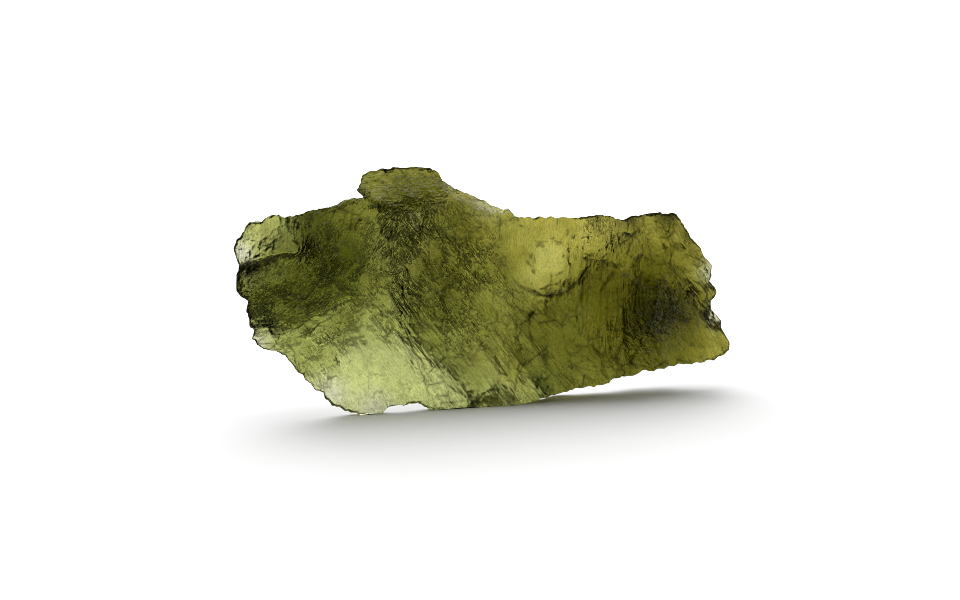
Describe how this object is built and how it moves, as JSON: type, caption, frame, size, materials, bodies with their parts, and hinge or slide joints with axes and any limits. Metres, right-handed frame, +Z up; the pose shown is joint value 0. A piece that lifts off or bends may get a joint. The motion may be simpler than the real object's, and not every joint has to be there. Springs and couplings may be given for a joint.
{
  "type": "raw moldavite",
  "caption": "Raw green natural glass fragment: a flat, sculpted slab with a jagged rim, thick dark lumps, thin pale edges and a ledge at the top, standing on its lower edge.",
  "frame": {"origin": "centre of the bounding box's footprint, at the level that the stone rests on", "axes": "+X along the stone's length, +Y away from its broad sculpted face, +Z up as it stands on its lower edge"},
  "size_m": [0.0426, 0.0058, 0.0203],
  "materials": {
    "moldavite_glass": "olive green natural glass with an etched, finely pitted skin"
  },
  "bodies": {
    "root": {"moldavite": "moldavite_glass"}
  },
  "joints": []
}
